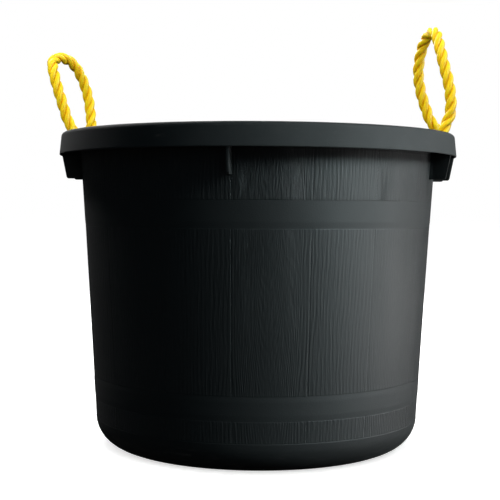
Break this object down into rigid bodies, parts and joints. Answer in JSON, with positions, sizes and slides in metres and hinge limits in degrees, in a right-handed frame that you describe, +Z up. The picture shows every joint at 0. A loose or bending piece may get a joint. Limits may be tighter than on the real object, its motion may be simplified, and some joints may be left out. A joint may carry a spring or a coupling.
{
  "type": "bucket",
  "caption": "Round moulded muck bucket with a tapered wall, a wide turned-down rim with ribs under it, and rope handles that swing over the rim and are knotted below it.",
  "frame": {"origin": "middle of the tub's base, on the ground", "axes": "+Z up the tub's axis, X through the two rope handles, the front towards -Y"},
  "size_m": [0.5616, 0.54, 0.5676],
  "materials": {
    "tub_plastic": "moulded wood-grain, satin",
    "rope": "twisted three-strand polypropylene"
  },
  "bodies": {
    "tub": {"tub": "tub_plastic"},
    "right_rope": {"right_front_rope_end": "rope", "right_front_knot": "rope", "right_rear_rope_end": "rope", "right_rear_knot": "rope"},
    "right_loop": {"right_loop": "rope"},
    "left_rope": {"left_front_rope_end": "rope", "left_front_knot": "rope", "left_rear_rope_end": "rope", "left_rear_knot": "rope"},
    "left_loop": {"left_loop": "rope"}
  },
  "joints": [
    {"name": "right_rope_pull", "type": "slide", "parent": "tub", "child": "right_rope", "axis": [0, 0, 1], "range_m": [0, 0.0035]},
    {"name": "right_handle_swing", "type": "hinge", "parent": "right_rope", "child": "right_loop", "pos_m": [0.24782, 0, 0.44345], "axis": [-0.1859, 0.9826, 0], "range_deg": [-100, 98]},
    {"name": "left_rope_pull", "type": "slide", "parent": "tub", "child": "left_rope", "axis": [0, 0, 1], "range_m": [0, 0.0035]},
    {"name": "left_handle_swing", "type": "hinge", "parent": "left_rope", "child": "left_loop", "pos_m": [-0.25432, 0.0005, 0.44345], "axis": [-0.0905, -0.9959, 0], "range_deg": [-98, 98]}
  ]
}
